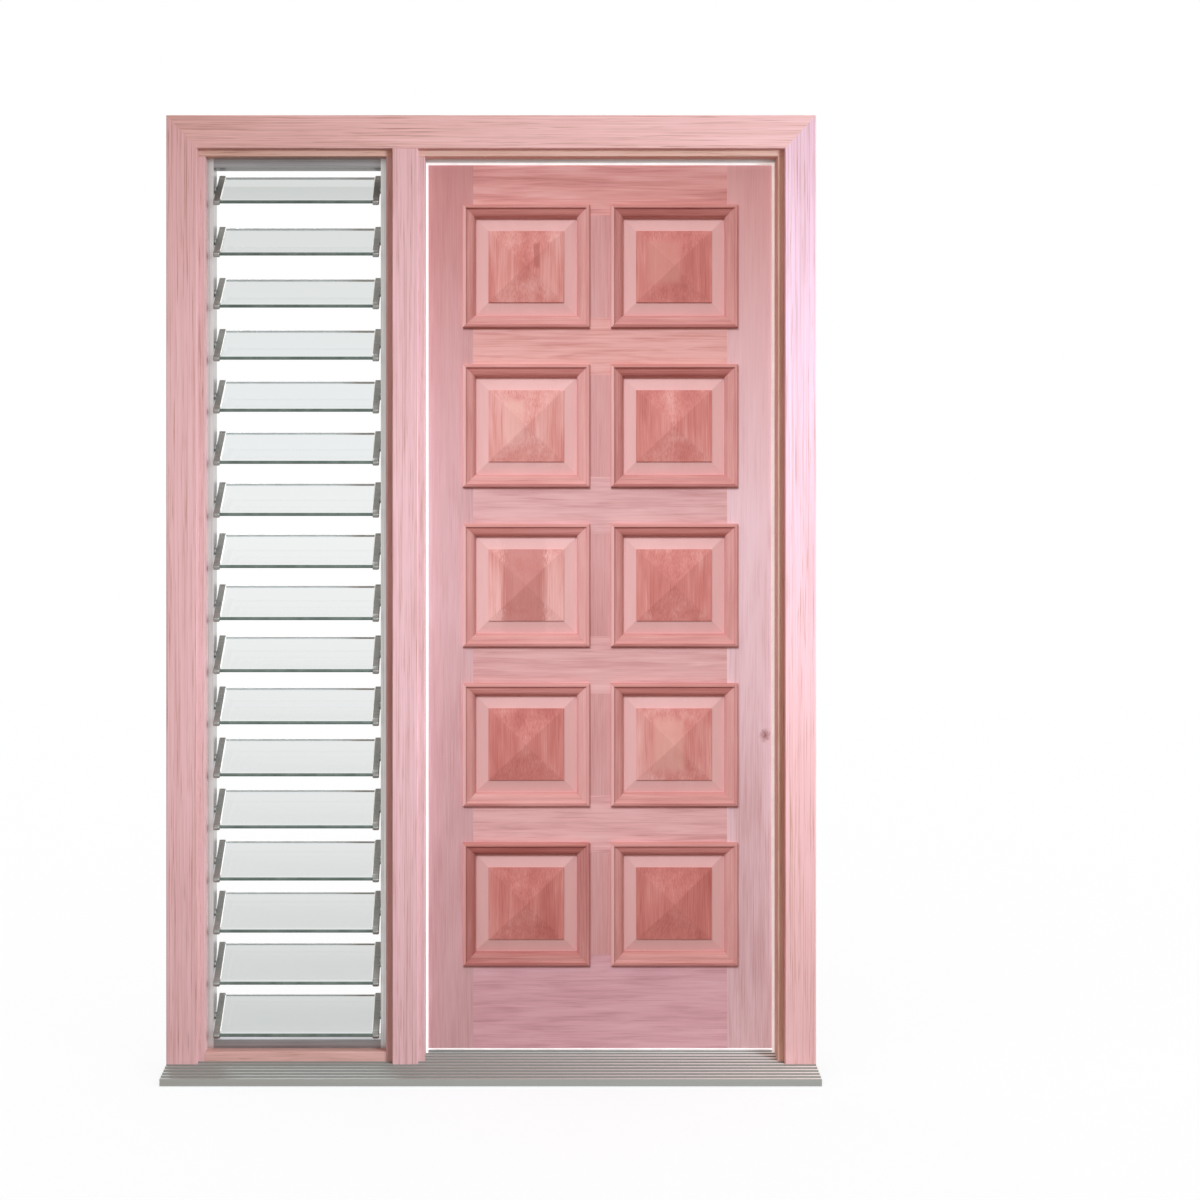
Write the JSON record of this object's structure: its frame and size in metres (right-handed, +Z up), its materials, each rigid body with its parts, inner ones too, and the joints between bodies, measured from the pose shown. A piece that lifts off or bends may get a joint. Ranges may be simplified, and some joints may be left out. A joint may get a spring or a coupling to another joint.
{
  "type": "panel door set with louvre sidelight",
  "caption": "Timber entrance door set: a leaf of raised pyramid panels beside a louvred glass sidelight, in a rebated frame with cover moulds on a ribbed aluminium sill.",
  "frame": {"origin": "underside of the sill's middle foot, in the middle of the frame's width, in the plane of the wall's outer face", "axes": "+X to the right as seen from outside, +Y into the building, +Z up"},
  "size_m": [1.461, 0.1937, 2.158],
  "materials": {
    "frame_timber": "satin",
    "leaf_timber": "satin",
    "panel_timber": "satin",
    "moulding_timber": "satin",
    "sill_aluminium": "satin",
    "gallery_aluminium": "satin",
    "clip_aluminium": "satin",
    "glass": "polished",
    "seal": "matte",
    "hinge_steel": "satin"
  },
  "bodies": {
    "frame": {"left_jamb": "frame_timber", "right_jamb": "frame_timber", "mullion": "frame_timber", "head": "frame_timber", "sidelight_rail": "frame_timber", "left_cover": "frame_timber", "right_cover": "frame_timber", "head_cover": "frame_timber", "mullion_cover": "frame_timber", "aluminium_sill": "sill_aluminium", "door_seals": "seal", "head_weather_bar": "gallery_aluminium", "louvre_left_channel": "gallery_aluminium", "louvre_right_channel": "gallery_aluminium", "louvre_sill_channel": "gallery_aluminium", "louvre_head_channel": "gallery_aluminium", "louvre_blades": "glass", "louvre_left_clips": "clip_aluminium", "louvre_right_clips": "clip_aluminium", "hinge_frame_plates": "hinge_steel", "hinge_pins": "hinge_steel"},
    "leaf": {"lock_stile": "leaf_timber", "hinge_stile": "leaf_timber", "top_rail": "leaf_timber", "cross_rail_1": "leaf_timber", "cross_rail_2": "leaf_timber", "cross_rail_3": "leaf_timber", "cross_rail_4": "leaf_timber", "bottom_rail": "leaf_timber", "muntins": "leaf_timber", "panel_1_left": "panel_timber", "panel_1_right": "panel_timber", "panel_2_left": "panel_timber", "panel_2_right": "panel_timber", "panel_3_left": "panel_timber", "panel_3_right": "panel_timber", "panel_4_left": "panel_timber", "panel_4_right": "panel_timber", "panel_5_left": "panel_timber", "panel_5_right": "panel_timber", "front_mouldings": "moulding_timber", "back_mouldings": "moulding_timber", "bottom_seal": "seal", "hinge_leaf_plates": "hinge_steel"}
  },
  "joints": [
    {"name": "door_swing", "type": "hinge", "parent": "frame", "child": "leaf", "pos_m": [0.66075, 0.09525, 1], "axis": [0, 0, -1], "range_deg": [0, 110]}
  ]
}
